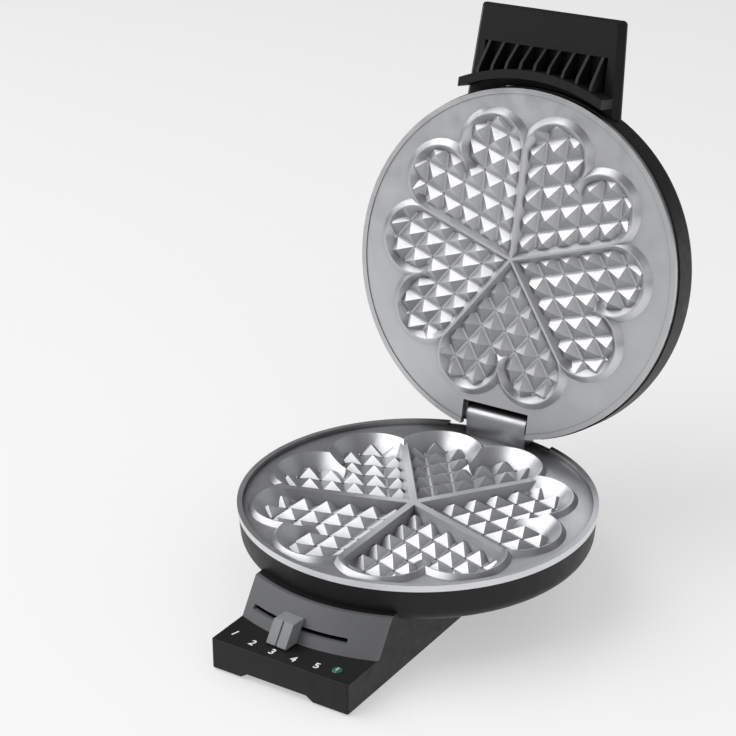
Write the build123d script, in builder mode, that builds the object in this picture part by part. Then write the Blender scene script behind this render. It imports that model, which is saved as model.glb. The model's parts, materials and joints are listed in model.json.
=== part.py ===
from build123d import *
import os
from math import cos, radians, sin, sqrt

os.makedirs("parts", exist_ok=True)

# A heart waffle maker, lid open. Origin on the floor under the middle of the whole,
# X to the right, Y to the back (hinge side), Z up. Base pieces are drawn on base_frame,
# on the axis of the round plates. Lid pieces are drawn as if the lid were shut, on
# lid_frame, which carries them to the open position.

# Clearances
fit = 0.1                # between pieces that are screwed or pushed together
running_fit = 0.05       # radial, round a turning pin or spindle
side_play = 0.5          # beside the hinge barrel
travel_gap = 0.4         # round the slider

axis_shift = 5.3         # axis of the plates, ahead of the origin

# Heights from the floor
foot_proud = 1.2         # rubber feet below the housing
rim_height = 51.2        # rim of the lower plate
shut_gap = 1.5           # between the rims of the shut plates

# Lid and hinge
open_angle = 100.9
hinge_inset = 6.6        # hinge, in from the edge of the plates
hinge_rise = 9.1         # above the lower rim
barrel_radius = 5.5
barrel_half = 18.5       # half length of the fixed barrel
lug_width = 8.0          # each of the two lid lugs
lug_radius = 5.0
pin_radius = 2.5

# Plates
plate_radius = 95.0
lid_overhang = 1.2       # lid plate beyond the lower plate
plate_edge = 3.4         # thickness at the edge
rim_width = 2.8
channel_depth = 2.5      # overflow channel below the lower rim
plate_floor = 3.0        # metal under the wells
plate_step = 2.4         # metal under the channel
core_inset = 7.0         # thick middle of a plate, in from the edge, seen from behind

# Heart pattern: ten round lobes make five hearts
pattern_shift = 3.9      # pattern centre, forward of the plate axis
lobe_count = 10
lobe_ring = 60.8         # radius of the ring of lobe centres
groove_pitch = 12.5      # between grooves, measured along a ridge

well_depth = 9.0         # lower well below the rim
crest_radius = 23.0      # lower lobe at its crest
floor_radius = 14.5      # lower lobe at its floor
crest_flat = 0.6
bead_foot_radius = 26.0
bar_drop = 2.0           # bars between the lower hearts, below the crest
bar_half_top = 2.0
bar_half_floor = 4.8
lower_tip = 4.5          # height of a lower pyramid
notch_top = 60.0         # point of the heart's notch, at the bar tops and at the floor
notch_floor = 52.0

lip_proud = 3.0          # lip round the lid's hearts
lip_foot_radius = 22.6
lid_crest_radius = 18.7
lid_floor_radius = 14.9
lid_well_depth = 4.3     # below the lip's crest
ridge_half_top = 0.65
ridge_half_floor = 4.2
lid_tip = 4.0
lid_notch_top = 57.0
lid_core_rise = 5.0      # back of the lid plate above its rim

# Base housing
pan_inset = 0.4          # pan, in from the plate's edge
pan_taper = 1.0          # pan is this much smaller at its foot
pan_bottom_drop = 22.6   # pan bottom below the rim
pan_round = 8.0
wall = 2.2
block_half = 40.2        # half width of the pedestal
ledge_depth = 18.5       # front face, ahead of the panel's foot
block_back_inset = 10.6
block_corner = 12.0
ledge_height = 17.3      # top of the numbered ledge
shelf_height = 35.2      # top of the slanted panel
panel_foot_out = 15.9    # slanted panel beyond the pan, at its foot and at its head
panel_head_out = 4.4
panel_thick = 2.0
edge_round = 1.0
arch_height = 2.5        # recess under the front face
arch_left = 19.0
arch_right = 16.0
arch_slant = 3.8
cover_thick = 2.0
cover_lift = 3.0         # bottom cover above the housing's lower edge
cover_head_thick = 2.0
window_radius = 24.0     # opening in the pan floor for the thermostat
window_lip = 2.0

# Slider
slot_height = 2.4
slot_level = 23.5
slot_from = -18.8        # degrees from straight ahead, positive to the right
slot_to = 12.8
slider_angle = -4.05
knob_low = 17.8
knob_high = 28.9
knob_reach = 9.6         # out from the panel
knob_half = 6.0
knob_groove = 1.2
groove_depth = 1.0
lever_thick = 1.2
lever_width = 5.0
lever_arm_width = 8.0
lever_past = 1.5         # end of the lever, beyond the panel's foot
spindle_radius = 2.5
lever_hub_radius = 7.0

# Indicator
lamp_angle = 13.3
lamp_out = 13.0          # lamp, ahead of the panel's foot
lens_radius = 2.6

# Lid shell
shell_overhang = 0.8     # lid shell beyond the lid plate
shell_height = 22.0      # above the lid plate's edge
shell_round = 8.0
shell_crown = 1.5        # rise of the middle of the top
shell_notch_rise = 13.0  # hinge notch above the lid plate's edge
notch_half = 20.4
notch_gap = 8.4          # front of the notch, ahead of the hinge
relief_side = 12.0       # lower rim is cut down this far beside the notch
relief_depth = 2.0

# Handle, below the shell's top and outside it
handle_reach = 40.6      # tip, ahead of the shell
handle_top = 17.2        # above the lower rim
handle_half_tip = 43.0
handle_half_root = 47.0
handle_under = 10.8      # underside panel above the lower rim
handle_bevel = 3.0       # side faces lean in by this much
handle_corner = 2.5
cover_skin = 2.4
panel_skin = 2.4
rib_reach = 20.8         # where the ribs start, ahead of the shell
rib_count = 9
rib_thick = 1.6
rib_inset = 3.0          # outermost ribs, in from the pocket's sides
rib_fall = -0.8          # low edge of the ribs, from the lower rim
flange_gap = 4.6
flange_thick = 4.6
flange_half = 43.0
flange_low = -3.6        # free edge, from the lower rim

# Heating and wiring
tube_radius = 3.1
tube_ring = 56.0
tube_open = 24.0         # half angle of the gap between the tube's ends
tail_length = 16.0
clamp_width = 9.0
clamp_thick = 1.0
clamp_arm = 8.0          # from tube centre to post centre
post_radius = 3.5
post_grip = 4.0
rivet_radius = 1.5
sheet = 0.6
sheet_inset = 6.0
screw_radius = 2.0
head_radius = 3.8
head_thick = 2.2
boss_radius = 4.6
boss_inset = 10.0
fuse_radius = 3.0
fuse_length = 18.0
fuse_back = 30.0         # behind the plate axis
screw_grip = 9.0         # depth of a cover screw in its post
post_inset = 7.2         # cover posts, in from the sides
post_front = 70.0
post_back = 50.0
foot_radius = 6.5
foot_inset = 9.2         # feet, in from the sides, the front and the back
foot_front_inset = 11.0
foot_back_inset = 12.0
foot_chamfer = 0.6
lens_proud = 0.6
lamp_length = 6.0
terminal_width = 34.0
terminal_depth = 14.0
terminal_height = 12.0
terminal_back = 24.0     # in from the back wall
inlet_height = 15.0
inlet_radius = 6.0
inlet_bore = 3.6
inlet_rim = 2.0
inlet_flange = 2.0
thermostat_radius = 14.0
thermostat_flange = 2.0
thermostat_width = 26.0
thermostat_depth = 18.0
thermostat_height = 7.5
bushing_length = 3.0
bushing_wall = 2.0
spindle_inset = 4.0
collar_step = 0.8
lever_neck_inset = 11.0  # lever narrows this far inside the panel
tab_half = 30.0
tab_rise = 13.0
tab_thick = 2.0
tab_inset = 8.4          # handle tab, in from the shell
handle_screw_x = 24.0
handle_screw_rise = 12.8 # above the lower rim
handle_screw_radius = 1.5
handle_head_radius = 3.0
handle_screw_length = 17.0
band_proud = 0.5         # band round the lid plate's face
lug_foot_back = 2.6      # back end of a lid lug on the plate, behind the hinge
shell_notch_half = 28.4
lid_sheet_radius = 66.0
pocket_inset = 6.0
rib_nose = 3.4

lobe_step = 360 / lobe_count
heart_count = lobe_count // 2
lid_plate_radius = plate_radius + lid_overhang
hinge_y = plate_radius - hinge_inset
core_radius = plate_radius - core_inset
pan_radius = plate_radius - pan_inset
pan_waist_radius = pan_radius - pan_taper
panel_foot_radius = pan_radius + panel_foot_out
panel_head_radius = pan_radius + panel_head_out
block_front = panel_foot_radius + ledge_depth
block_back = pan_radius - block_back_inset
lever_reach = panel_foot_radius + lever_past
lever_neck = panel_head_radius - lever_neck_inset
lamp_ring = panel_foot_radius + lamp_out
shell_radius = lid_plate_radius + shell_overhang
notch_front = hinge_y - notch_gap
lug_foot = hinge_y + lug_foot_back
tab_front = shell_radius - tab_inset
handle_tip = shell_radius + handle_reach
rib_line = shell_radius + rib_reach
flange_in = shell_radius + flange_gap
flange_out = flange_in + flange_thick
pocket_half = handle_half_tip - pocket_inset
rib_span = pocket_half - rib_inset
boss_ring = core_radius - boss_inset
sheet_radius = boss_ring - sheet_inset
post_across = block_half - post_inset
foot_across = block_half - foot_inset
foot_front = block_front - foot_front_inset
foot_back = block_back - foot_back_inset
hinge_z = rim_height + hinge_rise
open_turn = radians(open_angle)


def turned(y, z):
    """Carry a point of the shut lid round the hinge to the open position."""
    back, up = y - hinge_y, z - hinge_z
    return (0, hinge_y - axis_shift + back * cos(open_turn) + up * sin(open_turn),
            hinge_z - back * sin(open_turn) + up * cos(open_turn))


base_frame = Plane((0, -axis_shift, 0))
lid_frame = Plane(origin=turned(0, 0), x_dir=(1, 0, 0),
                  z_dir=(0, sin(open_turn), cos(open_turn)))


def level(frame, z):
    """Level plane of a frame at height z."""
    return frame.offset(z)


def side(frame, x):
    """Upright plane facing right: its x runs back, its y runs up."""
    return Plane(origin=frame.origin + frame.x_dir * x, x_dir=frame.y_dir, z_dir=frame.x_dir)


def section(frame):
    """Upright plane through the axis, for turned profiles."""
    return Plane(origin=frame.origin, x_dir=frame.x_dir, z_dir=-frame.y_dir)


def facing_back(frame, y):
    """Upright plane at distance y, facing back: its x runs left, its y runs up."""
    return Plane(origin=frame.origin + frame.y_dir * y, x_dir=-frame.x_dir, z_dir=frame.y_dir)


def spin(frame):
    """The frame's upright axis."""
    return Axis(frame.origin, frame.z_dir)


def back_of(frame):
    """The frame's axis towards the back."""
    return Axis(frame.origin, frame.y_dir)


def pattern(frame):
    """The frame moved to the middle of the heart pattern."""
    return Plane(origin=frame.origin - frame.y_dir * pattern_shift,
                 x_dir=frame.x_dir, z_dir=frame.z_dir)


def turn_frame(frame, angle):
    """The frame turned about its axis, so that straight ahead becomes the given angle."""
    return frame.rotated((0, 0, angle))


half_step = radians(lobe_step / 2)
side_angle = radians(lobe_step)
lobe_along = lobe_ring * cos(half_step)
lobe_across = lobe_ring * sin(half_step)


def kite(half_ridge, notch):
    """Middle of a heart: from the point by the pattern centre round the lobe centres."""
    edge_x = lobe_along * cos(side_angle) + half_ridge * sin(side_angle)
    edge_y = lobe_along * sin(side_angle) - half_ridge * cos(side_angle)
    return [(half_ridge / sin(side_angle), 0), (edge_x, -edge_y), (lobe_along, -lobe_across),
            (notch, 0), (lobe_along, lobe_across), (edge_x, edge_y)]


def wedge(half_ridge):
    """The fifth of the plate between two ridges."""
    reach = plate_radius
    start = half_ridge / sin(side_angle)
    return [(start, 0), (start + reach * cos(side_angle), -reach * sin(side_angle)),
            (start + reach * cos(side_angle), reach * sin(side_angle))]


def lobe_cones(frame, z_low, r_low, z_high, r_high, core=True):
    """Ten blunt cones on the lobe ring, with the middle filled."""
    with BuildPart() as cones:
        with Locations(level(frame, z_low)):
            with PolarLocations(lobe_ring, lobe_count, start_angle=lobe_step / 2 - 90):
                Cone(r_low, r_high, z_high - z_low, align=(Align.CENTER, Align.CENTER, Align.MIN))
        if core:
            with BuildSketch(level(frame, z_low)):
                RegularPolygon(lobe_ring, lobe_count)
            extrude(amount=z_high - z_low)
    return cones.part


def groove_plane(z, ridge_angle, up):
    """Plane across one family of grooves: its x runs in from the ridge, its y runs up."""
    turn = radians(ridge_angle)
    inward = 1 if ridge_angle < 0 else -1
    across = Vector(-sin(turn), cos(turn), 0) * inward
    return Plane(origin=(0, 0, z), x_dir=across, z_dir=across.cross(Vector(0, 0, up)))


def heart_hollow(z_floor, z_open, floor, mouth, tip):
    """One heart-shaped well about the pattern's axis, pyramids left standing on its floor.

    floor and mouth are (lobe radius, half ridge, notch point) at the two heights.
    """
    up = 1 if z_open > z_floor else -1
    low, high = sorted([(z_floor, floor), (z_open, mouth)], key=lambda pair: pair[0])
    spacing = groove_pitch * sin(2 * side_angle)
    waves = int((lobe_ring + crest_radius) / spacing)
    ridge_line = [(0, -1)]
    for k in range(waves):
        ridge_line += [(k * spacing, 0), ((k + 0.5) * spacing, tip)]
    ridge_line += [(waves * spacing, 0), (waves * spacing, -1)]
    with BuildPart() as grid:
        with BuildSketch(groove_plane(z_floor, lobe_step, up)):
            Polygon(ridge_line, align=None)
        extrude(amount=plate_radius, both=True)
        with BuildSketch(groove_plane(z_floor, -lobe_step, up)):
            Polygon(ridge_line, align=None)
        extrude(amount=plate_radius, both=True, mode=Mode.INTERSECT)
    with BuildPart() as well:
        for z, (radius, half_ridge, notch) in (low, high):
            with BuildSketch(level(Plane.XY, z)):
                Polygon(kite(half_ridge, notch), align=None)
        loft(ruled=True)
        with Locations(level(Plane.XY, low[0])):
            with PolarLocations(lobe_ring, 2, start_angle=-lobe_step / 2, angular_range=2 * lobe_step):
                Cone(low[1][0], high[1][0], high[0] - low[0],
                     align=(Align.CENTER, Align.CENTER, Align.MIN))
        for z, (radius, half_ridge, notch) in (low, high):
            with BuildSketch(level(Plane.XY, z)):
                Polygon(wedge(half_ridge), align=None)
        loft(ruled=True, mode=Mode.INTERSECT)
        add(grid.part, mode=Mode.SUBTRACT)
    return well.part


def heater(frame, z):
    """Tubular element: most of a circle, with both ends led in side by side."""
    turn = radians(tube_open)
    ends = [(way * tube_ring * sin(turn), tube_ring * cos(turn)) for way in (-1, 1)]
    with BuildPart() as tube:
        with BuildLine(level(frame, z)):
            ring = CenterArc((0, 0), tube_ring, 90 + tube_open, 360 - 2 * tube_open)
        with BuildSketch(Plane(origin=ring @ 0, z_dir=ring % 0)):
            Circle(tube_radius)
        sweep(path=ring)
        with Locations(level(frame, z)):
            with Locations(*ends):
                Sphere(tube_radius)
                Cylinder(tube_radius, tail_length, rotation=(90, 0, 0),
                         align=(Align.CENTER, Align.CENTER, Align.MIN))
    return tube.part


def clamps(frame, z, up):
    """Strips that hold the element against the plate, riveted into its posts."""
    with BuildPart() as strips:
        with BuildSketch(level(frame, z)):
            with clamp_spots(tube_ring - clamp_arm / 2):
                RectangleRounded(clamp_arm + 2 * post_radius, clamp_width, edge_round)
        extrude(amount=up * clamp_thick)
        with Locations(level(frame, z - up * post_grip / 2)):
            with clamp_spots(tube_ring - clamp_arm):
                Cylinder(rivet_radius, post_grip)
    return strips.part


def clamp_spots(ring):
    """Three places, clear of the tube's ends."""
    return PolarLocations(ring, 3, start_angle=-90)


def panel_radius(z):
    """Radius of the slanted panel at height z."""
    share = (z - ledge_height) / (shelf_height - ledge_height)
    return panel_foot_radius + (panel_head_radius - panel_foot_radius) * share


def panel_wedge(inset, half, back, low, high):
    """Pedestal under the panel's cone, drawn in by inset in front."""
    with BuildPart() as block:
        with BuildSketch(section(base_frame)):
            Polygon((0, low), (panel_radius(low) - inset, low), (panel_radius(high) - inset, high),
                    (0, high), align=None)
        revolve(axis=spin(base_frame))
        with BuildSketch(level(base_frame, low)):
            with Locations((0, back)):
                Rectangle(2 * half, back + block_front,
                          align=(Align.CENTER, Align.MAX))
        extrude(amount=high - low, mode=Mode.INTERSECT)
    return block.part


def block_outline(inset):
    """Plan of the pedestal, drawn in by inset."""
    with BuildSketch() as plan:
        with Locations((0, (block_back - block_front) / 2)):
            Rectangle(2 * (block_half - inset), block_front + block_back - 2 * inset)
        fillet(plan.vertices().group_by(Axis.Y)[-1], block_corner - inset)
    add(plan.sketch)


def slot_sector(start, end):
    """Part of a ring on the path of the lever, between two angles."""
    reach = 2 * panel_foot_radius
    with BuildSketch() as sector:
        Circle(panel_foot_radius)
        Circle(panel_head_radius - 3 * wall - panel_thick, mode=Mode.SUBTRACT)
        Polygon((0, 0), (reach * sin(radians(start)), -reach * cos(radians(start))),
                (reach * sin(radians(end)), -reach * cos(radians(end))),
                align=None, mode=Mode.INTERSECT)
    add(sector.sketch)


def cover_posts():
    """Places of the four screws of the bottom cover."""
    return Locations((-post_across, -post_front), (post_across, -post_front),
                     (-post_across, post_back), (post_across, post_back))


def feet():
    """Places of the four rubber feet."""
    return Locations((-foot_across, -foot_front), (foot_across, -foot_front),
                     (-foot_across, foot_back), (foot_across, foot_back))


def handle_screw_spots():
    """Places of the two handle screws on an upright plane of the lid."""
    return Locations((-handle_screw_x, rim_height + handle_screw_rise),
                     (handle_screw_x, rim_height + handle_screw_rise))


def knob_face(near, far):
    """Side of the slider knob, between two distances out from the panel."""
    Polygon((-panel_radius(knob_low) - near, knob_low), (-panel_radius(knob_high) - near, knob_high),
            (-panel_radius(knob_high) - far, knob_high), (-panel_radius(knob_low) - far, knob_low),
            align=None)


# Lower plate
channel_z = rim_height - channel_depth
floor_z = rim_height - well_depth
edge_z = rim_height - plate_edge
core_z = floor_z - plate_floor
bar_z = rim_height - bar_drop
bar_radius = crest_radius - (crest_radius - floor_radius) * bar_drop / well_depth
base_pattern = pattern(base_frame)
rim_inner = plate_radius - rim_width
pan_inner = pan_radius - wall
pan_bottom = rim_height - pan_bottom_drop
pan_floor = pan_bottom + wall
relief_half = notch_half + relief_side
tube_z = core_z - fit - tube_radius
post_foot = core_z - 2 * tube_radius - 2 * fit
lug_front = hinge_y - barrel_radius
cover_z = foot_proud + cover_lift
bushing_z = core_z - thermostat_flange - thermostat_height - bushing_length

lower_well = heart_hollow(floor_z, bar_z, (floor_radius, bar_half_floor, notch_floor),
                          (bar_radius, bar_half_top, notch_top), lower_tip)
upper_well = lobe_cones(base_pattern, bar_z, bar_radius, rim_height, crest_radius)
bead = lobe_cones(base_pattern, channel_z, bead_foot_radius, rim_height, crest_radius + crest_flat)

with BuildPart() as lower_plate:
    with BuildSketch(section(base_frame)):
        Polygon((0, core_z), (core_radius, core_z), (core_radius, channel_z - plate_step - fit),
                (pan_inner - travel_gap, channel_z - plate_step - fit), (pan_inner - travel_gap, edge_z),
                (plate_radius, edge_z), (plate_radius, rim_height), (rim_inner, rim_height),
                (rim_inner, channel_z), (0, channel_z), align=None)
    revolve(axis=spin(base_frame))
    add(bead)
    add(upper_well, mode=Mode.SUBTRACT)
    with Locations(base_pattern):
        with PolarLocations(0, heart_count, start_angle=lobe_step / 2):
            add(lower_well, mode=Mode.SUBTRACT)
    with BuildSketch(level(base_frame, rim_height - relief_depth)):
        with Locations((0, plate_radius)):
            Rectangle(2 * relief_half, 2 * (plate_radius - lug_front))
    extrude(amount=relief_depth + 1, mode=Mode.SUBTRACT)
    with BuildSketch(side(base_frame, 0)):
        with BuildLine():
            Polyline((lug_front, hinge_z), (lug_front, channel_z - fit),
                     (plate_radius - 1, channel_z - fit), (hinge_y + barrel_radius, hinge_z))
            ThreePointArc((hinge_y + barrel_radius, hinge_z), (hinge_y, hinge_z + barrel_radius),
                          (lug_front, hinge_z))
        make_face()
    extrude(amount=barrel_half, both=True)
    with BuildSketch(side(base_frame, 0)):
        with Locations((hinge_y, hinge_z)):
            Circle(pin_radius + fit / 2)
    extrude(amount=barrel_half + 1, both=True, mode=Mode.SUBTRACT)
    with Locations(level(base_frame, post_foot)):
        with clamp_spots(tube_ring - clamp_arm):
            Cylinder(post_radius, core_z - post_foot, align=(Align.CENTER, Align.CENTER, Align.MIN))
            Cylinder(rivet_radius + fit / 2, 2 * post_grip + fit, mode=Mode.SUBTRACT)
        with PolarLocations(boss_ring, 4, start_angle=45):
            with Locations((0, 0, core_z - post_foot)):
                Cylinder(screw_radius + fit / 2, plate_floor, mode=Mode.SUBTRACT)
lower_plate.part.label = "lower_plate"
export_step(lower_plate.part, "parts/lower_plate.step")


# Lower heating
base_tube_z = core_z - fit - tube_radius

with BuildPart() as lower_reflector:
    with BuildSketch(level(base_frame, pan_floor)):
        Circle(sheet_radius)
        Circle(window_radius + window_lip, mode=Mode.SUBTRACT)
    extrude(amount=sheet)
lower_reflector.part.label = "lower_reflector"
export_step(lower_reflector.part, "parts/lower_reflector.step")

lower_heater = heater(base_frame, base_tube_z)
lower_heater.label = "lower_heater"
export_step(lower_heater, "parts/lower_heater.step")

lower_clamps = clamps(base_frame, post_foot, -1)
lower_clamps.label = "lower_clamps"
export_step(lower_clamps, "parts/lower_clamps.step")

with BuildPart() as thermal_fuse:
    with Locations(level(base_frame, core_z - fuse_radius)):
        with Locations((0, fuse_back)):
            Cylinder(fuse_radius, fuse_length, rotation=(0, 90, 0))
thermal_fuse.part.label = "thermal_fuse"
export_step(thermal_fuse.part, "parts/thermal_fuse.step")

# Base housing
with BuildPart() as base_housing:
    with BuildSketch(section(base_frame)):
        with BuildLine():
            Polyline((0, pan_bottom), (pan_waist_radius - pan_round, pan_bottom))
            ThreePointArc((pan_waist_radius - pan_round, pan_bottom),
                          (pan_waist_radius - pan_round * (1 - sqrt(0.5)),
                           pan_bottom + pan_round * (1 - sqrt(0.5))),
                          (pan_waist_radius, pan_bottom + pan_round))
            Polyline((pan_waist_radius, pan_bottom + pan_round), (pan_radius, edge_z),
                     (0, edge_z), (0, pan_bottom))
        make_face()
    revolve(axis=spin(base_frame))
    add(panel_wedge(panel_thick + fit, block_half, block_back, foot_proud, shelf_height))
    with BuildSketch(level(base_frame, foot_proud)):
        block_outline(0)
    extrude(amount=ledge_height - foot_proud)
    front = edges().group_by(Axis.Y)[0]
    fillet(front.filter_by(Axis.Z) + front.filter_by(Axis.X).group_by(Axis.Z)[-1], edge_round)
    with BuildSketch(section(base_frame)):
        inner_round = pan_round - wall
        inner_waist = pan_waist_radius - wall
        Polygon((0, pan_floor), (inner_waist - inner_round, pan_floor),
                (inner_waist, pan_floor + inner_round), (pan_inner, edge_z), (0, edge_z),
                align=None)
    revolve(axis=spin(base_frame), mode=Mode.SUBTRACT)
    with BuildSketch(level(base_frame, foot_proud)):
        block_outline(wall)
    extrude(amount=ledge_height - wall - foot_proud, mode=Mode.SUBTRACT)
    add(panel_wedge(panel_thick + fit + wall, block_half - wall, block_back - wall,
                    ledge_height - wall - fit, pan_bottom), mode=Mode.SUBTRACT)
    with BuildSketch(level(base_frame, pan_bottom)):
        Circle(window_radius)
    extrude(amount=wall, mode=Mode.SUBTRACT)
    with BuildSketch(level(base_frame, slot_level - slot_height / 2 - fit)):
        slot_sector(slot_from - 1, slot_to + 1)
    extrude(amount=slot_height + 2 * fit, mode=Mode.SUBTRACT)
    with BuildSketch(facing_back(base_frame, -block_front)):
        Polygon((arch_left, foot_proud + arch_height), (-arch_right, foot_proud + arch_height),
                (-arch_right - arch_slant, foot_proud), (arch_left + arch_slant, foot_proud),
                align=None)
    extrude(amount=wall + fit, mode=Mode.SUBTRACT)
    with BuildSketch(level(base_frame, pan_floor)):
        with PolarLocations(boss_ring, 4, start_angle=45):
            Circle(boss_radius)
    extrude(amount=core_z - pan_floor)
    with Locations(level(base_frame, pan_bottom)):
        with PolarLocations(boss_ring, 4, start_angle=45):
            Cylinder(screw_radius + fit / 2, core_z - pan_bottom,
                     align=(Align.CENTER, Align.CENTER, Align.MIN), mode=Mode.SUBTRACT)
            Cylinder(head_radius + fit, 2 * head_thick, mode=Mode.SUBTRACT)
    with BuildSketch(level(base_frame, cover_z + cover_thick)):
        with cover_posts():
            Circle(post_radius)
    extrude(amount=pan_bottom - cover_z - cover_thick)
    with Locations(level(base_frame, cover_z + cover_thick)):
        with cover_posts():
            Cylinder(screw_radius + fit / 2, screw_grip,
                     align=(Align.CENTER, Align.CENTER, Align.MIN), mode=Mode.SUBTRACT)
    with Locations(level(turn_frame(base_frame, lamp_angle), ledge_height)):
        with Locations((0, -lamp_ring)):
            Cylinder(lens_radius + fit / 2, 3 * wall, mode=Mode.SUBTRACT)
    with BuildSketch(facing_back(base_frame, block_back)):
        with Locations((0, inlet_height)):
            Circle(inlet_radius + fit / 2)
    extrude(amount=-2 * wall, mode=Mode.SUBTRACT)
base_housing.part.label = "base_housing"
export_step(base_housing.part, "parts/base_housing.step")

with BuildPart() as control_panel:
    add(panel_wedge(0, block_half, 0, ledge_height, shelf_height))
    add(panel_wedge(panel_thick, block_half, 0, ledge_height, shelf_height), mode=Mode.SUBTRACT)
    with BuildSketch(level(base_frame, slot_level - slot_height / 2)):
        slot_sector(slot_from, slot_to)
    extrude(amount=slot_height, mode=Mode.SUBTRACT)
control_panel.part.label = "control_panel"
export_step(control_panel.part, "parts/control_panel.step")

with BuildPart() as bottom_cover:
    with BuildSketch(level(base_frame, cover_z)):
        block_outline(wall + fit)
        with cover_posts():
            Circle(screw_radius + fit / 2, mode=Mode.SUBTRACT)
    extrude(amount=cover_thick)
bottom_cover.part.label = "bottom_cover"
export_step(bottom_cover.part, "parts/bottom_cover.step")

with BuildPart() as rubber_feet:
    with BuildSketch(level(base_frame, 0)):
        with feet():
            Circle(foot_radius)
    extrude(amount=cover_z)
    chamfer(rubber_feet.edges().group_by(Axis.Z)[0], foot_chamfer)
rubber_feet.part.label = "rubber_feet"
export_step(rubber_feet.part, "parts/rubber_feet.step")

with BuildPart() as cover_screws:
    with Locations(level(base_frame, cover_z)):
        with cover_posts():
            Cylinder(head_radius, cover_head_thick, align=(Align.CENTER, Align.CENTER, Align.MAX))
            Cylinder(screw_radius, cover_thick + screw_grip - fit,
                     align=(Align.CENTER, Align.CENTER, Align.MIN))
cover_screws.part.label = "cover_screws"
export_step(cover_screws.part, "parts/cover_screws.step")

with BuildPart() as plate_screws:
    with Locations(level(base_frame, pan_bottom + head_thick)):
        with PolarLocations(boss_ring, 4, start_angle=45):
            Cylinder(head_radius, head_thick, align=(Align.CENTER, Align.CENTER, Align.MAX))
            Cylinder(screw_radius, core_z + plate_floor / 2 - fit - pan_bottom - head_thick,
                     align=(Align.CENTER, Align.CENTER, Align.MIN))
plate_screws.part.label = "plate_screws"
export_step(plate_screws.part, "parts/plate_screws.step")

# Indicator, inlet and terminals
with BuildPart() as indicator_lens:
    with Locations(level(turn_frame(base_frame, lamp_angle), ledge_height - wall)):
        with Locations((0, -lamp_ring)):
            Cylinder(lens_radius, wall + lens_proud,
                     align=(Align.CENTER, Align.CENTER, Align.MIN))
    chamfer(indicator_lens.edges().group_by(Axis.Z)[-1], lens_proud / 2)
indicator_lens.part.label = "indicator_lens"
export_step(indicator_lens.part, "parts/indicator_lens.step")

with BuildPart() as indicator_lamp:
    with Locations(level(turn_frame(base_frame, lamp_angle), ledge_height - wall)):
        with Locations((0, -lamp_ring)):
            Cylinder(lens_radius + 1, lamp_length,
                     align=(Align.CENTER, Align.CENTER, Align.MAX))
indicator_lamp.part.label = "indicator_lamp"
export_step(indicator_lamp.part, "parts/indicator_lamp.step")

with BuildPart() as terminal_block:
    with BuildSketch(level(base_frame, cover_z + cover_thick)):
        with Locations((0, block_back - wall - terminal_back)):
            Rectangle(terminal_width, terminal_depth)
    extrude(amount=terminal_height)
    with Locations(level(base_frame, cover_z + cover_thick + terminal_height)):
        with Locations((0, block_back - wall - terminal_back)):
            with GridLocations(terminal_width / 4, 1, 3, 1):
                Hole(screw_radius, depth=terminal_height / 2)
terminal_block.part.label = "terminal_block"
export_step(terminal_block.part, "parts/terminal_block.step")

with BuildPart() as cord_inlet:
    with BuildSketch(facing_back(base_frame, block_back)):
        with Locations((0, inlet_height)):
            Circle(inlet_radius + inlet_rim)
    extrude(amount=inlet_flange)
    with BuildSketch(facing_back(base_frame, block_back)):
        with Locations((0, inlet_height)):
            Circle(inlet_radius)
    extrude(amount=-wall - inlet_flange)
    with BuildSketch(facing_back(base_frame, block_back)):
        with Locations((0, inlet_height)):
            Circle(inlet_bore)
    extrude(amount=2 * wall + 2 * inlet_flange, both=True, mode=Mode.SUBTRACT)
    chamfer(cord_inlet.edges().group_by(Axis.Y)[-1], inlet_flange / 3)
cord_inlet.part.label = "cord_inlet"
export_step(cord_inlet.part, "parts/cord_inlet.step")

# Thermostat and slider
with BuildPart() as thermostat:
    with BuildSketch(level(base_frame, core_z)):
        Circle(thermostat_radius)
    extrude(amount=-thermostat_flange)
    with BuildSketch(level(base_frame, core_z - thermostat_flange)):
        RectangleRounded(thermostat_width, thermostat_depth, edge_round)
    extrude(amount=-thermostat_height)
    with BuildSketch(level(base_frame, bushing_z + bushing_length)):
        Circle(spindle_radius + bushing_wall)
    extrude(amount=-bushing_length)
    with Locations(level(base_frame, bushing_z)):
        Cylinder(spindle_radius + running_fit, bushing_length + spindle_inset + fit,
                 align=(Align.CENTER, Align.CENTER, Align.MIN), mode=Mode.SUBTRACT)
thermostat.part.label = "thermostat"
export_step(thermostat.part, "parts/thermostat.step")

lever_low = slot_level - lever_thick / 2
with BuildPart() as thermostat_spindle:
    with Locations(level(base_frame, lever_low + lever_thick)):
        Cylinder(spindle_radius, bushing_z + bushing_length + spindle_inset - lever_low - lever_thick,
                 align=(Align.CENTER, Align.CENTER, Align.MIN))
        Cylinder(spindle_radius - collar_step, 2 * lever_thick + 1,
                 align=(Align.CENTER, Align.CENTER, Align.MAX))
    with Locations(level(base_frame, lever_low)):
        Cylinder(spindle_radius + collar_step, lever_thick,
                 align=(Align.CENTER, Align.CENTER, Align.MAX))
thermostat_spindle.part.label = "thermostat_spindle"
export_step(thermostat_spindle.part, "parts/thermostat_spindle.step")

slider_frame = turn_frame(base_frame, slider_angle)
with BuildPart() as slider_lever:
    with BuildSketch(level(slider_frame, lever_low)):
        Circle(lever_hub_radius)
        with Locations((0, -lever_neck / 2)):
            Rectangle(lever_arm_width, lever_neck)
        with Locations((0, -lever_reach / 2)):
            Rectangle(lever_width, lever_reach)
        Circle(spindle_radius - collar_step + fit / 2, mode=Mode.SUBTRACT)
    extrude(amount=lever_thick)
slider_lever.part.label = "slider_lever"
export_step(slider_lever.part, "parts/slider_lever.step")

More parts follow.
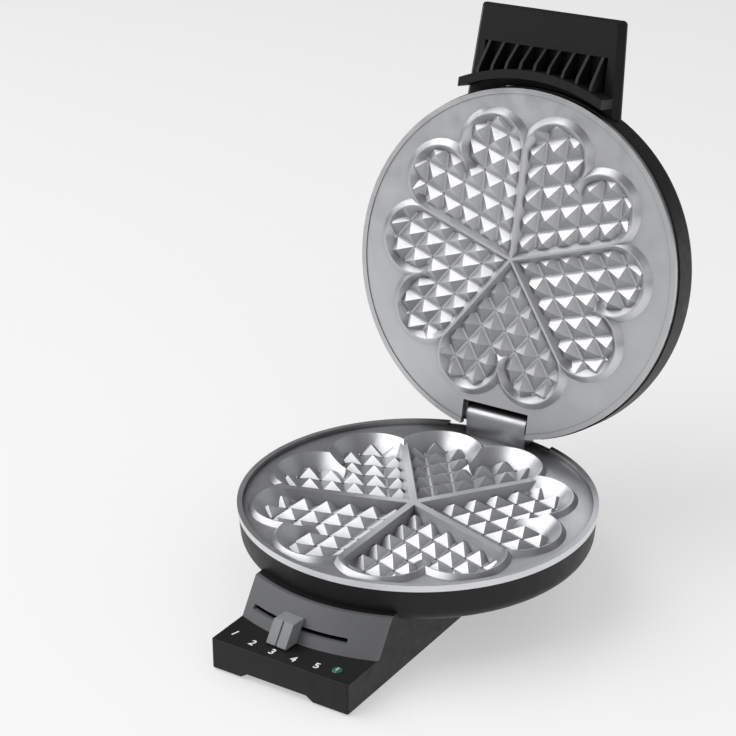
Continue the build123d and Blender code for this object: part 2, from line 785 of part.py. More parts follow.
with BuildPart() as slider_knob:
    with BuildSketch(side(slider_frame, 0)):
        knob_face(travel_gap, knob_reach)
    extrude(amount=knob_half, both=True)
    fillet(slider_knob.edges().group_by(Axis.Y)[0] + slider_knob.edges().group_by(Axis.Z)[-1],
           edge_round / 2)
    with BuildSketch(side(slider_frame, 0)):
        knob_face(knob_reach - groove_depth, knob_reach + 1)
    extrude(amount=knob_groove / 2, both=True, mode=Mode.SUBTRACT)
    with BuildSketch(level(slider_frame, lever_low - fit)):
        with Locations((0, -(lever_reach + fit) / 2)):
            Rectangle(lever_width + 2 * fit, lever_reach + fit)
    extrude(amount=lever_thick + 2 * fit, mode=Mode.SUBTRACT)
slider_knob.part.label = "slider_knob"
export_step(slider_knob.part, "parts/slider_knob.step")

# Lid plate, drawn shut
lid_rim_z = rim_height + shut_gap
lid_edge_z = lid_rim_z + plate_edge
lid_crest_z = lid_rim_z - lip_proud
lid_floor_z = lid_crest_z + lid_well_depth
lid_core_z = lid_rim_z + lid_core_rise
lid_post_z = lid_core_z + 2 * tube_radius + 2 * fit
lid_pattern = pattern(lid_frame)
shell_inner = shell_radius - wall

lid_well = heart_hollow(lid_floor_z, lid_crest_z,
                        (lid_floor_radius, ridge_half_floor, notch_floor),
                        (lid_crest_radius, ridge_half_top, lid_notch_top), lid_tip)
lip = lobe_cones(lid_pattern, lid_crest_z, lid_crest_radius + crest_flat, lid_rim_z,
                 lip_foot_radius)

with BuildPart() as lid_plate:
    with BuildSketch(section(lid_frame)):
        Polygon((0, lid_rim_z), (lid_plate_radius - rim_width, lid_rim_z),
                (lid_plate_radius - rim_width, lid_rim_z - band_proud),
                (lid_plate_radius, lid_rim_z - band_proud), (lid_plate_radius, lid_edge_z),
                (core_radius, lid_edge_z), (core_radius, lid_core_z), (0, lid_core_z), align=None)
    revolve(axis=spin(lid_frame))
    add(lip)
    with Locations(lid_pattern):
        with PolarLocations(0, heart_count, start_angle=lobe_step / 2):
            add(lid_well, mode=Mode.SUBTRACT)
    with BuildSketch(level(lid_frame, lid_crest_z)):
        with Locations((0, notch_front)):
            Rectangle(2 * notch_half, lid_plate_radius, align=(Align.CENTER, Align.MIN))
    extrude(amount=lid_core_z + lip_proud - lid_crest_z, mode=Mode.SUBTRACT)
    for x in (-barrel_half - side_play, barrel_half + side_play + lug_width):
        with BuildSketch(side(lid_frame, x)):
            with Locations((hinge_y, hinge_z)):
                Circle(lug_radius)
            Polygon((notch_front, lid_edge_z), (lug_foot, lid_edge_z),
                    (hinge_y + lug_radius * sin(radians(60)), hinge_z - lug_radius / 2),
                    (hinge_y, hinge_z + lug_radius), (notch_front, lid_core_z), align=None)
        extrude(amount=-lug_width)
    with BuildSketch(side(lid_frame, 0)):
        with Locations((hinge_y, hinge_z)):
            Circle(pin_radius + running_fit)
    extrude(amount=barrel_half + side_play + lug_width + 1, both=True, mode=Mode.SUBTRACT)
    with BuildSketch(level(lid_frame, lid_edge_z)):
        with Locations((0, -tab_front)):
            Rectangle(2 * tab_half, tab_thick, align=(Align.CENTER, Align.MIN))
    extrude(amount=tab_rise)
    with Locations(level(lid_frame, lid_core_z)):
        with clamp_spots(tube_ring - clamp_arm):
            Cylinder(post_radius, lid_post_z - lid_core_z,
                     align=(Align.CENTER, Align.CENTER, Align.MIN))
    with Locations(level(lid_frame, lid_post_z)):
        with clamp_spots(tube_ring - clamp_arm):
            Cylinder(rivet_radius + fit / 2, 2 * post_grip + fit, mode=Mode.SUBTRACT)
    with BuildSketch(facing_back(lid_frame, -tab_front)):
        with handle_screw_spots():
            Circle(handle_screw_radius + fit / 2)
    extrude(amount=2 * tab_thick, both=True, mode=Mode.SUBTRACT)
lid_plate.part.label = "lid_plate"
export_step(lid_plate.part, "parts/lid_plate.step")

lid_heater = heater(lid_frame, lid_core_z + fit + tube_radius)
lid_heater.label = "lid_heater"
export_step(lid_heater, "parts/lid_heater.step")

lid_clamps = clamps(lid_frame, lid_post_z, 1)
lid_clamps.label = "lid_clamps"
export_step(lid_clamps, "parts/lid_clamps.step")

with BuildPart() as lid_reflector:
    with BuildSketch(level(lid_frame, lid_post_z + clamp_thick)):
        Circle(lid_sheet_radius)
    extrude(amount=sheet)
lid_reflector.part.label = "lid_reflector"
export_step(lid_reflector.part, "parts/lid_reflector.step")

with BuildPart() as hinge_pin:
    with BuildSketch(side(base_frame, 0)):
        with Locations((hinge_y, hinge_z)):
            Circle(pin_radius)
    extrude(amount=barrel_half + side_play + lug_width, both=True)
    chamfer(hinge_pin.edges().filter_by(GeomType.CIRCLE), edge_round / 2)
hinge_pin.part.label = "hinge_pin"
export_step(hinge_pin.part, "parts/hinge_pin.step")

# Lid shell
shell_top_z = lid_edge_z + shell_height


def shell_outline(inset, foot):
    """Half outline of the lid shell, drawn in by inset."""
    rim, top, round_in = shell_radius - inset, shell_top_z - inset, shell_round - inset
    corner = round_in * (1 - sqrt(0.5))
    flat = rim - round_in
    ball = (flat ** 2 + shell_crown ** 2) / (2 * shell_crown)
    crown_half = top + shell_crown - ball + sqrt(ball ** 2 - (flat / 2) ** 2)
    with BuildLine() as outline:
        Polyline((0, foot), (rim, foot), (rim, top - round_in))
        ThreePointArc((rim, top - round_in), (rim - corner, top - corner), (flat, top))
        ThreePointArc((flat, top), (flat / 2, crown_half), (0, top + shell_crown))
        Line((0, top + shell_crown), (0, foot))
    make_face(outline.edges())


with BuildPart() as lid_shell:
    with BuildSketch(section(lid_frame)):
        shell_outline(0, lid_edge_z)
    revolve(axis=spin(lid_frame))
    with BuildSketch(section(lid_frame)):
        shell_outline(wall, lid_edge_z)
    revolve(axis=spin(lid_frame), mode=Mode.SUBTRACT)
    with BuildSketch(level(lid_frame, lid_core_z + fit)):
        with Locations((0, notch_front - fit)):
            Rectangle(2 * (shell_notch_half + wall), wall, align=(Align.CENTER, Align.MAX))
    extrude(amount=shell_top_z - lid_core_z - wall + shell_crown)
    with BuildSketch(level(lid_frame, lid_edge_z)):
        with Locations((0, notch_front)):
            Rectangle(2 * shell_notch_half, lid_plate_radius, align=(Align.CENTER, Align.MIN))
    extrude(amount=shell_notch_rise, mode=Mode.SUBTRACT)
    with BuildSketch(facing_back(lid_frame, -shell_radius)):
        with handle_screw_spots():
            Circle(handle_screw_radius + fit / 2)
    extrude(amount=2 * tab_front - shell_radius, mode=Mode.SUBTRACT)
lid_shell.part.label = "lid_shell"
export_step(lid_shell.part, "parts/lid_shell.step")

# Handle
under_z = rim_height + handle_under
handle_top_z = rim_height + handle_top
seam_z = handle_top_z - cover_skin
seat_radius = shell_radius + fit
root_y = shell_inner * cos(radians(lobe_step))


def handle_plan(inset):
    """Plan of the handle, wider at the shell than at the tip, drawn in by inset."""
    tip, root = handle_half_tip - inset, handle_half_root - inset
    Polygon((-tip, -handle_tip + inset / 2), (tip, -handle_tip + inset / 2), (root, -root_y),
            (-root, -root_y), align=None)


def seat_cut(low, high):
    """Hollow of the handle's root where it meets the round shell."""
    with BuildPart() as hollow:
        with BuildSketch(level(lid_frame, low)):
            Circle(seat_radius)
        extrude(amount=high - low)
    return hollow.part


with BuildPart() as handle_body:
    with BuildSketch(level(lid_frame, under_z)):
        handle_plan(handle_bevel)
    with BuildSketch(level(lid_frame, seam_z)):
        handle_plan(0)
    loft(ruled=True)
    fillet(handle_body.edges().sort_by(back_of(lid_frame))[1:3], handle_corner)
    with BuildSketch(level(lid_frame, under_z)):
        with BuildLine():
            Polyline((-pocket_half, -rib_line), (pocket_half, -rib_line), (pocket_half, -root_y),
                     (-pocket_half, -root_y), close=True)
        make_face()
        Circle(flange_out, mode=Mode.SUBTRACT)
    extrude(amount=seam_z - under_z, mode=Mode.SUBTRACT)
    with BuildSketch(level(lid_frame, rim_height + flange_low)):
        Circle(flange_out)
        Circle(flange_in, mode=Mode.SUBTRACT)
        with Locations((0, -flange_out)):
            Rectangle(2 * flange_half, flange_out, mode=Mode.INTERSECT)
    extrude(amount=under_z - rim_height - flange_low + panel_skin)
    for k in range(rib_count):
        x = rib_span * (2 * k / (rib_count - 1) - 1)
        foot = -sqrt(flange_out ** 2 - x ** 2)
        with BuildSketch(side(lid_frame, x)):
            Polygon((-rib_line, under_z), (foot - rib_nose, rim_height + rib_fall + rib_nose / 2),
                    (foot + 1, rim_height + rib_fall), (foot + 1, seam_z), (-rib_line, seam_z),
                    align=None)
        extrude(amount=rib_thick / 2, both=True)
    add(seat_cut(rim_height - lip_proud - plate_edge, seam_z + 1), mode=Mode.SUBTRACT)
    with BuildSketch(facing_back(lid_frame, -seat_radius)):
        with handle_screw_spots():
            Circle(handle_screw_radius + fit / 2)
    extrude(amount=screw_grip, both=True, mode=Mode.SUBTRACT)
handle_body.part.label = "handle_body"
export_step(handle_body.part, "parts/handle_body.step")

with BuildPart() as handle_cover:
    with BuildSketch(level(lid_frame, seam_z)):
        handle_plan(0)
    extrude(amount=cover_skin)
    upright = handle_cover.edges().filter_by(spin(lid_frame))
    fillet(upright.sort_by(back_of(lid_frame))[:2], handle_corner)
    fillet(handle_cover.faces().sort_by(spin(lid_frame))[-1].edges(), edge_round)
    add(seat_cut(seam_z - 1, handle_top_z + 1), mode=Mode.SUBTRACT)
handle_cover.part.label = "handle_cover"
export_step(handle_cover.part, "parts/handle_cover.step")

with BuildPart() as handle_screws:
    with BuildSketch(facing_back(lid_frame, tab_thick - tab_front)):
        with handle_screw_spots():
            Circle(handle_head_radius)
    extrude(amount=head_thick)
    with BuildSketch(facing_back(lid_frame, tab_thick - tab_front)):
        with handle_screw_spots():
            Circle(handle_screw_radius)
    extrude(amount=-handle_screw_length)
handle_screws.part.label = "handle_screws"
export_step(handle_screws.part, "parts/handle_screws.step")
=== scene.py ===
import json
import math

import bmesh
import bpy
import numpy as np
from mathutils import Matrix, Vector


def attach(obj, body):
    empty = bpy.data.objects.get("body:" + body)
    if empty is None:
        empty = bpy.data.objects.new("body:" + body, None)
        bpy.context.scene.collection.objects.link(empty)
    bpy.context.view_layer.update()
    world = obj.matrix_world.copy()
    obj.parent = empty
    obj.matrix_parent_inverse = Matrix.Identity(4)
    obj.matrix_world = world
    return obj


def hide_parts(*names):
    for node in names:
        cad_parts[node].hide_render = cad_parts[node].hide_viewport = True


# Looks of a heart waffle maker, lid open. Everything is in metres, in the frame of the
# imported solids: Z up, X right, Y towards the hinge.

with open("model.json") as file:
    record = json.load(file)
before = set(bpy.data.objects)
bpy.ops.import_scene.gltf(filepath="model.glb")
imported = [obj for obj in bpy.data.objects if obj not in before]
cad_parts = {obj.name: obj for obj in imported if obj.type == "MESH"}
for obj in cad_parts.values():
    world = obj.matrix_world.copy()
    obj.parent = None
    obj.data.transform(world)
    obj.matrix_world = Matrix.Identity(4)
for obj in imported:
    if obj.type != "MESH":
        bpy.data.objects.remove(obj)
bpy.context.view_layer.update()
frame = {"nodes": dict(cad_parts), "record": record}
nodes = frame["nodes"]

MM = 0.001
AXIS_Y = -5.3 * MM           # axis of the round plates
LEDGE_TOP = 17.3 * MM        # top of the numbered ledge
LENS_TOP = 17.9 * MM         # top of the indicator's lens
CREASE = math.radians(28)    # edges that turn more than this stay sharp
JOIN_DISTANCE = 0.001 * MM   # corners closer than this are joined

# Camera, fitted to the photo. Lens and sensor are in mm.
LENS = 97.83
SENSOR = 36.0
EYE = Vector((0.4859, -0.80566, 0.53781))
LOOK = Vector((-0.4961, 0.7687, -0.4039)).normalized()
ROLL = math.radians(-0.298)
SIGHT = 20                   # how far the camera sees

right = LOOK.cross(Vector((0, 0, 1))).normalized()
up = right.cross(LOOK)
across = right * math.cos(ROLL) + up * math.sin(ROLL)
upward = up * math.cos(ROLL) - right * math.sin(ROLL)
camera_data = bpy.data.cameras.new("camera")
camera_data.lens = LENS
camera_data.sensor_width = SENSOR
camera_data.clip_end = SIGHT
camera = bpy.data.objects.new("camera", camera_data)
turn = Matrix((across, upward, -LOOK)).transposed().to_4x4()
camera.matrix_world = Matrix.Translation(EYE) @ turn
scene = bpy.context.scene
scene.collection.objects.link(camera)
scene.camera = camera
scene.view_settings.view_transform = "Standard"


def linear(hex_colour):
    """sRGB hex to linear RGBA: a power of 2.4 with a straight foot near black."""
    channels = np.array([int(hex_colour[i:i + 2], 16) for i in (1, 3, 5)]) / 255
    bent = np.where(channels > 0.04045, ((channels + 0.055) / 1.055) ** 2.4, channels / 12.92)
    return (*bent.tolist(), 1.0)


def add_node(tree, kind, links=None, values=None, **settings):
    """Adds a node, sets its settings and socket values, and links its inputs."""
    node = tree.nodes.new(kind)
    for name, value in settings.items():
        setattr(node, name, value)
    for name, value in (values or {}).items():
        node.inputs[name].default_value = value
    for name, source in (links or {}).items():
        tree.links.new(source, node.inputs[name])
    return node


def new_material(name):
    """An empty node tree with a node for the object's coordinates, whose output it returns."""
    material = bpy.data.materials.new(name)
    material.use_nodes = True
    tree = material.node_tree
    tree.nodes.clear()
    place = add_node(tree, "ShaderNodeTexCoord").outputs["Object"]
    return material, tree, place


def per_metre(size_mm):
    """Texture scale that gives features of this size."""
    return 1000 / size_mm


NOISE_RANGE = (0.3, 0.7)     # where most of a noise's values lie
# The painted shade darkens hollows by how little open sky they see.
PAINTED_SHADE_OPEN_SHARE = (0.35, 0.95)    # share of open sky in a deep hollow and on an open face
GRAIN_STRENGTH = 0.6

def surface(name, light, dark, grain_mm, grain_depth_mm, roughness, metallic=0.0, ior=1.5,
            cloud_mm=60.0, streak=(1, 1, 1), gloss_mm=6.0, anisotropic=0.0, specular=0.5,
            painted_shade_reach_mm=0.0, painted_shade_darkest=1.0):
    """A made surface: colour drifts between light and dark over cloud_mm, roughness wanders
    between its two limits over gloss_mm, and grain of grain_mm stands grain_depth_mm high.
    Hollows narrower than the given reach are painted with shade, down to the given share of the
    colour.
    """
    material, tree, place = new_material(name)
    place = add_node(tree, "ShaderNodeMapping", {"Vector": place}, {"Scale": streak}).outputs[0]
    cloud = add_node(tree, "ShaderNodeTexNoise", {"Vector": place},
                     {"Scale": per_metre(cloud_mm), "Detail": 3.0, "Roughness": 0.55})
    tint = add_node(tree, "ShaderNodeMix", {"Factor": cloud.outputs["Fac"]}, data_type="RGBA")
    tint.inputs[6].default_value = linear(dark)
    tint.inputs[7].default_value = linear(light)
    colour = tint.outputs[2]
    # Painted shade: ambient occlusion darkens the colour in hollows, where shade falls.
    if painted_shade_reach_mm:
        occlusion_for_painted_shade = add_node(tree, "ShaderNodeAmbientOcclusion", None,
                          {"Distance": painted_shade_reach_mm * MM}, samples=12)
        painted_shade_factor = add_node(tree, "ShaderNodeMapRange", {"Value": occlusion_for_painted_shade.outputs["AO"]},
                         {"From Min": PAINTED_SHADE_OPEN_SHARE[0], "From Max": PAINTED_SHADE_OPEN_SHARE[1],
                          "To Min": painted_shade_darkest, "To Max": 1.0})
        colour_with_painted_shade = add_node(tree, "ShaderNodeMix", {6: colour, 7: painted_shade_factor.outputs[0]},
                           {"Factor": 1.0}, data_type="RGBA", blend_type="MULTIPLY")
        colour = colour_with_painted_shade.outputs[2]
    sheen = add_node(tree, "ShaderNodeTexNoise", {"Vector": place},
                     {"Scale": per_metre(gloss_mm), "Detail": 4.0})
    rough = add_node(tree, "ShaderNodeMapRange", {"Value": sheen.outputs["Fac"]},
                     {"From Min": NOISE_RANGE[0], "From Max": NOISE_RANGE[1],
                      "To Min": roughness[0], "To Max": roughness[1]})
    grain = add_node(tree, "ShaderNodeTexNoise", {"Vector": place},
                     {"Scale": per_metre(grain_mm), "Detail": 2.0})
    relief = add_node(tree, "ShaderNodeBump", {"Height": grain.outputs["Fac"]},
                      {"Strength": GRAIN_STRENGTH, "Distance": grain_depth_mm * MM})
    shader = add_node(tree, "ShaderNodeBsdfPrincipled",
                      {"Base Color": colour, "Roughness": rough.outputs[0],
                       "Normal": relief.outputs[0]},
                      {"Metallic": metallic, "IOR": ior, "Anisotropic": anisotropic,
                       "Specular IOR Level": specular})
    add_node(tree, "ShaderNodeOutputMaterial", {"Surface": shader.outputs[0]})
    return material


# Glass-filled nylon, moulded in a spark-eroded tool: black with an even matte grain that
# breaks up the highlights. Grain is drawn at 0.9 mm, coarser than life, so that it shows.
black_plastic = surface("black_moulded_nylon", "#1D1D1F", "#171718", 0.9, 0.035, (0.44, 0.54),
                        specular=0.28)

# ABS panel, moulded satin: mid grey, smoother than the housing.
grey_plastic = surface("grey_moulded_abs", "#66676A", "#5F6063", 0.8, 0.012, (0.40, 0.50))

# ABS knob, moulded satin: light grey.
light_grey_plastic = surface("light_grey_moulded_abs", "#8D8F91", "#858789", 0.8, 0.012,
                             (0.38, 0.46), cloud_mm=20)

# Aluminium, pressure die cast and blasted: a soft bright metal with a fine pebble and
# slightly duller patches where the metal flowed. The wells carry painted shade in their
# hollows.
cast_aluminium = surface("die_cast_aluminium", "#E2E3E5", "#D2D3D6", 0.7, 0.03, (0.30, 0.40),
                         metallic=0.9, cloud_mm=28, gloss_mm=9, painted_shade_reach_mm=16, painted_shade_darkest=0.22)

# Aluminium, rolled sheet: bright, with faint streaks along the roll.
sheet_aluminium = surface("rolled_aluminium_sheet", "#DCDDDF", "#CFD0D2", 0.5, 0.01,
                          (0.18, 0.28), metallic=1.0, streak=(0.08, 1, 1))

# Stainless steel, drawn and turned: grey, with streaks round the axis of the hinge.
steel = surface("turned_stainless_steel", "#B9BABC", "#A5A6A8", 0.4, 0.01, (0.24, 0.34),
                metallic=1.0, streak=(1, 0.1, 0.1), anisotropic=0.3)

# Silicone rubber, moulded: dead black, slightly dusty.
black_rubber = surface("moulded_silicone_rubber", "#232324", "#1A1A1B", 1.2, 0.05, (0.62, 0.75),
                       ior=1.43)

# Steatite ceramic, pressed and fired: off-white and dry.
white_insulator = surface("fired_steatite", "#EAE6DC", "#DDD8CC", 0.6, 0.03, (0.55, 0.68),
                          ior=1.6, cloud_mm=12)

# Polycarbonate lens, moulded and polished: deep green over a dark lamp, with a wavy skin.
lens_plastic = surface("polished_polycarbonate", "#2E7A5C", "#1F5A43", 1.5, 0.02, (0.08, 0.14),
                       ior=1.58, cloud_mm=3)

# Soda glass lamp envelope.
lamp_glass = surface("lamp_glass", "#F0EFEA", "#E2E1DB", 1.5, 0.01, (0.04, 0.08), ior=1.52)

# Printing ink, pad printed: flat white.
white_ink = surface("white_printing_ink", "#F4F4F2", "#EBEBE8", 0.6, 0.005, (0.45, 0.55),
                    cloud_mm=5)

finishes = {
    "black_plastic": black_plastic,
    "grey_plastic": grey_plastic,
    "light_grey_plastic": light_grey_plastic,
    "cast_aluminium": cast_aluminium,
    "sheet_aluminium": sheet_aluminium,
    "steel": steel,
    "black_rubber": black_rubber,
    "white_insulator": white_insulator,
    "lens_plastic": lens_plastic,
    "lamp_glass": lamp_glass,
}
node_slots = {row["node"]: row["material_slot"] for row in frame["record"]["subparts"]}
body_nodes = frame["record"]["behaviour"]["bodies"]
body_of_node = {name: body for body, names in body_nodes.items() for name in names}


def joined_skin(name):
    """Takes a node's place: a copy with its corners joined and its gentle edges shaded smooth.
    The node's own normals are taken off it, because they would shade every edge sharp.
    """
    skin = bpy.data.meshes.new(name + "_skin")
    work = bmesh.new()
    work.from_mesh(nodes[name].data)
    bmesh.ops.remove_doubles(work, verts=work.verts, dist=JOIN_DISTANCE)
    work.to_mesh(skin)
    work.free()
    skin.materials.clear()
    skin.materials.append(finishes[node_slots[name]])
    if "custom_normal" in skin.attributes:
        skin.attributes.remove(skin.attributes["custom_normal"])
    skin.shade_smooth()
    skin.set_sharp_from_angle(angle=CREASE)
    piece = bpy.data.objects.new(name + "_skin", skin)
    scene.collection.objects.link(piece)
    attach(piece, body_of_node[name])
    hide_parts(name)


for name in nodes:
    joined_skin(name)


# Flat bottoms of the grooves between the pyramids
HEARTS = 5
FIRST_HEART = 18                  # degrees from X to the middle line of a heart
HEART_STEP = 72                   # degrees from one heart to the next
LOBE_STEP = math.radians(36)      # ridge either side of a heart's middle line
LOBE_RING = 60.8 * MM             # middle of a lobe from the middle of the pattern
PATTERN_Y = AXIS_Y - 3.9 * MM     # middle of the pattern, in front of the plates' axis
GROOVES = 6                       # most that are looked for beside each ridge
PYRAMID_SIDE = 12.5               # mm, along a ridge
GROOVE_SPACING = PYRAMID_SIDE * math.sin(2 * LOBE_STEP) * MM
GROOVE_HALF = 0.55 * MM           # half the width of a strip
GROOVE_SINK = 0.4 * MM            # depth of a strip below its flat top
LINE_LENGTH = 100 * MM            # a groove's line ends past the plate's edge
STEP_ALONG = 0.25 * MM            # distance of the points at which it is tested
# Sizes of the hearts in mm: a lobe's radius, ridge and notch from the pattern's middle lines
# and middle, height of the pyramids, and height of the floor with the lid shut.
LOWER_HEART = {"radius": 14.5, "ridge": 4.8, "notch": 52.0, "tip": 4.5, "floor": 42.2}
LID_HEART = {"radius": 14.9, "ridge": 4.2, "notch": 52.0, "tip": 4.0, "floor": 54.0}
HINGE = np.array((0.0, 83.1, 60.3)) * MM
OPEN_TURN = math.radians(100.9)


def inside_heart(x, y, heart):
    """True at points of a heart's floor. The heart lies along x: between its two ridges, and
    either in one of its lobes' circles or in the kite that joins them as far as the notch.
    """
    radius, ridge, notch = (heart[key] * MM for key in ("radius", "ridge", "notch"))
    along = LOBE_RING * math.cos(LOBE_STEP / 2)
    aside = LOBE_RING * math.sin(LOBE_STEP / 2)
    depth = x * math.sin(LOBE_STEP) - np.abs(y) * math.cos(LOBE_STEP)
    lobe = np.hypot(x - along, np.abs(y) - aside) < radius
    notch_edge = notch + (along - notch) * np.abs(y) / aside
    lobe_edge = x * math.cos(LOBE_STEP) + np.abs(y) * math.sin(LOBE_STEP)
    kite = np.where(np.abs(y) < aside, x < notch_edge, lobe_edge < along)
    return (depth > ridge) & (lobe | kite)


def groove_strips(heart):
    """Strips of one heart, as points and faces. Each groove is a line along a ridge's
    direction, a whole number of spacings in from it, kept where it crosses the heart's floor.
    A strip's top fills the groove's bottom to where the groove is two GROOVE_HALF wide.
    """
    fill = heart["tip"] * MM * GROOVE_HALF / (GROOVE_SPACING / 2)
    walk = np.arange(0, LINE_LENGTH, STEP_ALONG)
    points, faces = [], []
    for way in (-1, 1):
        along = np.array((math.cos(LOBE_STEP), way * math.sin(LOBE_STEP)))
        inward = np.array((math.sin(LOBE_STEP), -way * math.cos(LOBE_STEP)))
        wide = inward * GROOVE_HALF
        for k in range(1, GROOVES + 1):
            line = along * walk[:, None] + inward * k * GROOVE_SPACING
            inside = inside_heart(line[:, 0], line[:, 1], heart)
            held = np.concatenate([[False], inside, [False]])
            firsts = np.flatnonzero(held[1:] & ~held[:-1])
            lasts = np.flatnonzero(held[:-1] & ~held[1:]) - 1
            for start, end in zip(line[firsts], line[lasts]):
                plan = np.array((start - wide, end - wide, end + wide, start + wide))
                upper = np.column_stack([plan, np.full(4, fill)])
                lower = np.column_stack([plan, np.full(4, -GROOVE_SINK)])
                base = 8 * len(points)          # corners of the strips before it
                points.append(np.concatenate([upper, lower]))
                ring = np.arange(4)
                after = (ring + 1) % 4
                sides = np.stack([ring + 4, after + 4, after, ring], axis=-1) + base
                faces.append(np.concatenate([[ring + base], [ring[::-1] + 4 + base], sides]))
    return np.concatenate(points), np.concatenate(faces)


def groove_bottoms(name, heart, body, facing):
    """Five hearts' strips in one piece: one heart turned about the pattern's middle. facing
    is 1 where the wells open upwards and -1 where they open downwards, in the shut lid, which
    is then turned open about the hinge.
    """
    strip, faces = groove_strips(heart)
    angles = np.radians(FIRST_HEART + HEART_STEP * np.arange(HEARTS))
    c, s = np.cos(angles)[:, None], np.sin(angles)[:, None]
    x = strip[:, 0] * c - strip[:, 1] * s
    y = strip[:, 0] * s + strip[:, 1] * c + PATTERN_Y
    z = np.broadcast_to(heart["floor"] * MM + facing * strip[:, 2], x.shape)
    points = np.stack([x, y, z], axis=-1).reshape(-1, 3)
    if facing < 0:
        back, rise = (points - HINGE)[:, 1], (points - HINGE)[:, 2]
        points = HINGE + np.stack([points[:, 0],
                                   back * math.cos(OPEN_TURN) + rise * math.sin(OPEN_TURN),
                                   -back * math.sin(OPEN_TURN) + rise * math.cos(OPEN_TURN)],
                                  axis=-1)
    all_faces = (faces[None] + (np.arange(HEARTS) * len(strip))[:, None, None]).reshape(-1, 4)
    mesh = bpy.data.meshes.new(name)
    mesh.from_pydata(points.tolist(), [], all_faces.tolist())
    work = bmesh.new()
    work.from_mesh(mesh)
    bmesh.ops.recalc_face_normals(work, faces=work.faces)
    work.to_mesh(mesh)
    work.free()
    mesh.materials.append(cast_aluminium)
    piece = bpy.data.objects.new(name, mesh)
    scene.collection.objects.link(piece)
    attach(piece, body)


groove_bottoms("lower_groove_bottoms", LOWER_HEART, "base", 1)
groove_bottoms("lid_groove_bottoms", LID_HEART, "lid", -1)


# Print: rings are distances from the plates' axis, angles degrees right of straight ahead
DIGIT_RING = 123.3 * MM
DIGIT_ANGLES = (-15.7, -9.6, -3.6, 2.3, 8.3)
DIGIT_HEIGHT = 4.4 * MM
LAMP_RING = 123.5 * MM
LAMP_ANGLE = 13.3
LAMP_MARK_HEIGHT = 2.6 * MM
CAPITAL_SHARE = 0.7          # height of a numeral in its font size
INK_HALF = 0.05 * MM         # half the thickness of the print
INK_SPREAD = 0.12 * MM       # strokes drawn out to the printed width


def printed(name, word, ring, degrees, tall, height):
    """Flat printed word: its outline, tall high, lies at height on a ring about the plates'
    axis and is turned with it. There is no slot for ink, so it gets the white ink material.
    """
    angle = math.radians(degrees)
    x, y = ring * math.sin(angle), AXIS_Y - ring * math.cos(angle)
    outline = bpy.data.curves.new(name, "FONT")
    outline.body = word
    outline.size = tall / CAPITAL_SHARE
    outline.align_x = "CENTER"
    outline.align_y = "CENTER"
    outline.extrude = INK_HALF
    outline.offset = INK_SPREAD
    drawn = bpy.data.objects.new(name, outline)
    scene.collection.objects.link(drawn)
    bpy.context.view_layer.update()
    flat = bpy.data.meshes.new_from_object(drawn)
    bpy.data.objects.remove(drawn)
    flat.transform(Matrix.Translation((x, y, height + INK_HALF))
                   @ Matrix.Rotation(angle, 4, "Z"))
    flat.name = name
    flat.materials.clear()
    flat.materials.append(white_ink)
    piece = bpy.data.objects.new(name, flat)
    scene.collection.objects.link(piece)
    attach(piece, "base")


for number, degrees in enumerate(DIGIT_ANGLES, start=1):
    printed(f"number_{number}", str(number), DIGIT_RING, degrees, DIGIT_HEIGHT, LEDGE_TOP)
printed("lamp_mark", "/", LAMP_RING, LAMP_ANGLE, LAMP_MARK_HEIGHT, LENS_TOP)


# Floor and light. The camera sees a white sky and a floor that glows a little. Reflections
# see a floor that is nearly white, but a sky that is much darker than the camera's.
FLOOR_HALF = 6
FLOOR_POINTS = 3             # along each side
FLOOR_GLOW_SEEN = 0.45       # share of glow in the floor's surface
FLOOR_GLOW_REFLECTED = 0.8
SKY = 0.40                   # strength of the light from it
SKY_SEEN = 1.0
SKY_REFLECTED = -0.28        # added to SKY in reflections, which darkens the metal


def grid_sheet(name, half, steps):
    """Level sheet on the ground: a square grid of points."""
    side = np.linspace(-half, half, steps)
    u, v = np.meshgrid(side, side, indexing="ij")
    points = np.stack([u, v, np.zeros_like(u)], axis=-1).reshape(-1, 3)
    index = np.arange(steps * steps).reshape(steps, steps)
    faces = np.stack([index[:-1, :-1], index[1:, :-1], index[1:, 1:], index[:-1, 1:]], axis=-1)
    mesh = bpy.data.meshes.new(name)
    mesh.from_pydata(points.tolist(), [], faces.reshape(-1, 4).tolist())
    sheet = bpy.data.objects.new(name, mesh)
    scene.collection.objects.link(sheet)
    return sheet


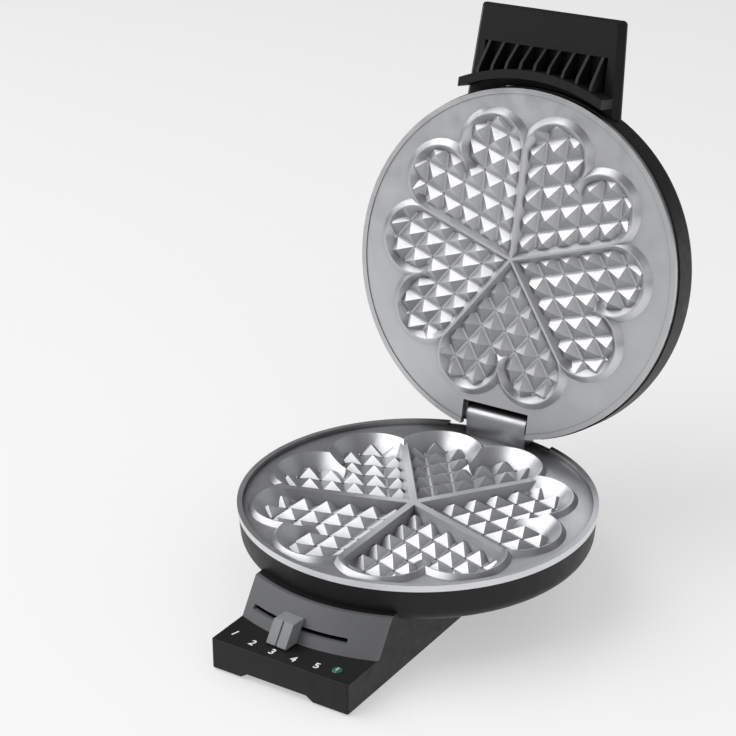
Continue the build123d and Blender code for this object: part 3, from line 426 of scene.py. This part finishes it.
floor_material, tree, _ = new_material("white_sweep")
matt = add_node(tree, "ShaderNodeBsdfPrincipled", None,
                {"Base Color": linear("#F7F7F7"), "Roughness": 0.32, "IOR": 1.4})
glow = add_node(tree, "ShaderNodeEmission", None, {"Color": (1, 1, 1, 1), "Strength": 1.0})
rays = add_node(tree, "ShaderNodeLightPath")
seen = add_node(tree, "ShaderNodeMath", {0: rays.outputs["Is Camera Ray"]},
                {1: FLOOR_GLOW_SEEN}, operation="MULTIPLY")
share = add_node(tree, "ShaderNodeMath", {0: rays.outputs["Is Glossy Ray"], 2: seen.outputs[0]},
                 {1: FLOOR_GLOW_REFLECTED}, operation="MULTIPLY_ADD")
blend = add_node(tree, "ShaderNodeMixShader",
                 {0: share.outputs[0], 1: matt.outputs[0], 2: glow.outputs[0]})
add_node(tree, "ShaderNodeOutputMaterial", {"Surface": blend.outputs[0]})
floor = grid_sheet("floor", FLOOR_HALF, FLOOR_POINTS)
floor.data.materials.append(floor_material)

world = bpy.data.worlds.new("studio")
scene.world = world
world.use_nodes = True
tree = world.node_tree
tree.nodes.clear()
rays = add_node(tree, "ShaderNodeLightPath")
seen = add_node(tree, "ShaderNodeMapRange", {"Value": rays.outputs["Is Camera Ray"]},
                {"To Min": SKY, "To Max": SKY_SEEN})
bright = add_node(tree, "ShaderNodeMath",
                  {0: rays.outputs["Is Glossy Ray"], 2: seen.outputs[0]}, {1: SKY_REFLECTED},
                  operation="MULTIPLY_ADD")
sky = add_node(tree, "ShaderNodeBackground", {"Strength": bright.outputs[0]},
               {"Color": (1, 1, 1, 1)})
add_node(tree, "ShaderNodeOutputWorld", {"Surface": sky.outputs[0]})


def soft_lamp(name, place, height, size, watts):
    """Square soft box at place, facing the point at this height above the origin."""
    data = bpy.data.lights.new(name, "AREA")
    data.shape = "SQUARE"
    data.size = size
    data.energy = watts
    lamp = bpy.data.objects.new(name, data)
    aim = (Vector((0, 0, height)) - Vector(place)).normalized()
    facing = aim.to_track_quat("-Z", "Y").to_matrix().to_4x4()
    lamp.matrix_world = Matrix.Translation(place) @ facing
    scene.collection.objects.link(lamp)


soft_lamp("key_lamp", (-1.5, -0.9, 2.0), 0.1, 3.2, 66)
soft_lamp("fill_lamp", (1.6, -1.2, 1.2), 0.1, 1.6, 5)
soft_lamp("back_lamp", (0.8, 1.6, 2.2), 0.15, 2.0, 6)
